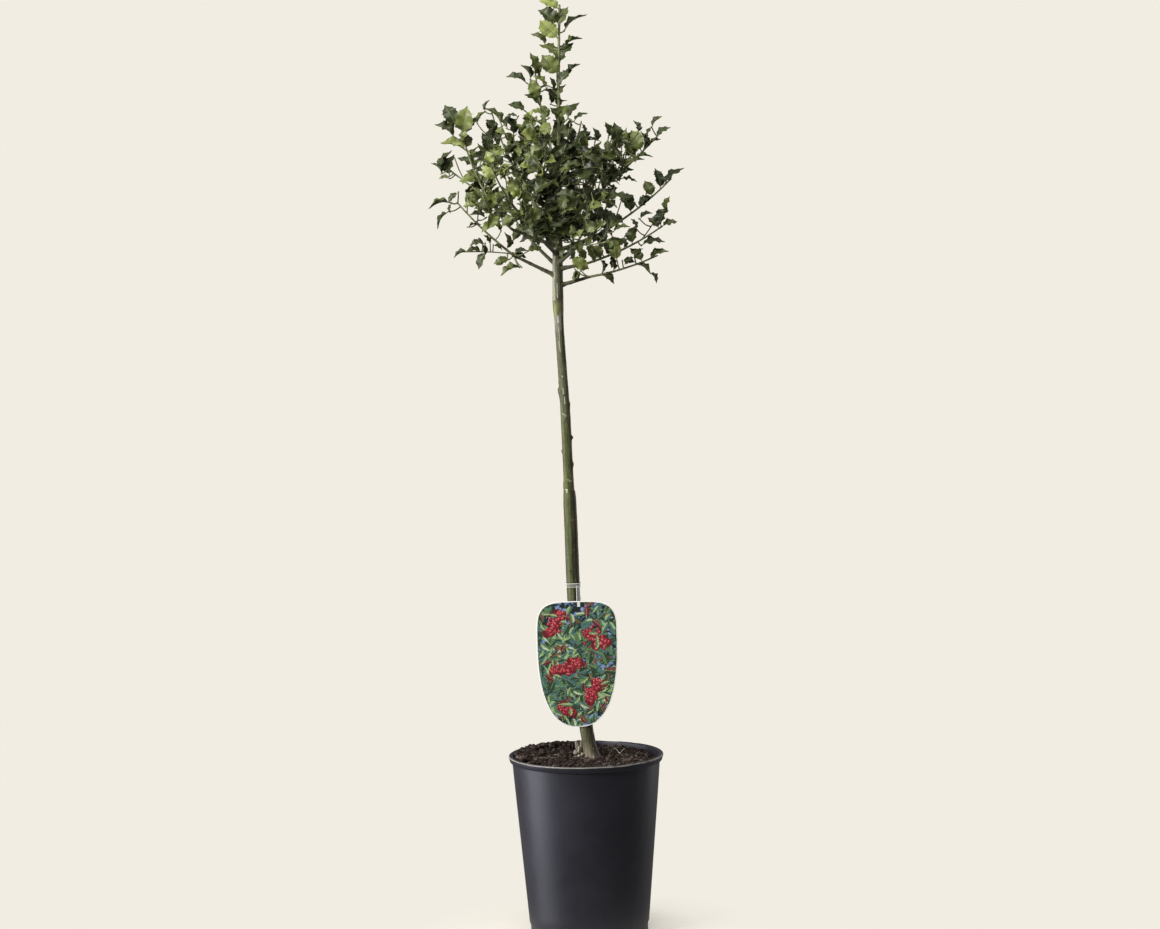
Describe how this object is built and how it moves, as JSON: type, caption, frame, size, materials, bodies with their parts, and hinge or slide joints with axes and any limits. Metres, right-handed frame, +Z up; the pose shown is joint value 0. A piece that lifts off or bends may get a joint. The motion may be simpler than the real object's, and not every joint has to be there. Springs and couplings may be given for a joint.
{
  "type": "holly tree in a nursery pot",
  "caption": "Young holly grown as a standard: bare leaning stem under a small open crown of spiny leaves, in a tapered plastic nursery pot with a hanging plant label.",
  "frame": {"origin": "centre of the flat underside of the nursery pot", "axes": "+Z up along the pot's axis; +X to the right and -Y towards the viewer of the label's printed face"},
  "size_m": [0.3542, 0.2902, 1.2998],
  "materials": {
    "pot_plastic": "smooth black polypropylene with a satin sheen",
    "soil": "dark brown moist peat with fibres and chips",
    "bark": "smooth olive green young bark with leaf scars",
    "holly_leaf": "glossy dark green spiny leaves, lighter on the young shoots",
    "label_plastic": "glossy printed plastic label with a white border"
  },
  "bodies": {
    "root": {"nursery_pot": "pot_plastic", "potting_soil": "soil", "trunk": "bark", "hanging_label": "label_plastic", "bough_low_right": "bark", "bough_right": "bark", "bough_mid_right": "bark", "bough_upper_right": "bark", "bough_high_right": "bark", "bough_top_right": "bark", "bough_low_left": "bark", "bough_upper_left": "bark", "bough_mid_left": "bark", "bough_high_left": "bark", "bough_spike_left": "bark", "bough_front_low": "bark", "bough_front_left": "bark", "bough_front_far_left": "bark", "bough_front_right": "bark", "bough_front_mid": "bark", "bough_front_high": "bark", "bough_front_high_left": "bark", "bough_back_low": "bark", "bough_back_low_left": "bark", "bough_back_low_right": "bark", "bough_back": "bark", "bough_back_left": "bark", "bough_back_right": "bark", "bough_back_high": "bark", "foliage_low_right": "holly_leaf", "foliage_right": "holly_leaf", "foliage_mid_right": "holly_leaf", "foliage_upper_right": "holly_leaf", "foliage_high_right": "holly_leaf", "foliage_top_right": "holly_leaf", "foliage_low_left": "holly_leaf", "foliage_upper_left": "holly_leaf", "foliage_mid_left": "holly_leaf", "foliage_high_left": "holly_leaf", "foliage_spike_left": "holly_leaf", "foliage_front_low": "holly_leaf", "foliage_front_left": "holly_leaf", "foliage_front_far_left": "holly_leaf", "foliage_front_right": "holly_leaf", "foliage_front_mid": "holly_leaf", "foliage_front_high": "holly_leaf", "foliage_front_high_left": "holly_leaf", "foliage_back_low": "holly_leaf", "foliage_back_low_left": "holly_leaf", "foliage_back_low_right": "holly_leaf", "foliage_back": "holly_leaf", "foliage_back_left": "holly_leaf", "foliage_back_right": "holly_leaf", "foliage_back_high": "holly_leaf", "foliage_leader": "holly_leaf"}
  },
  "joints": []
}
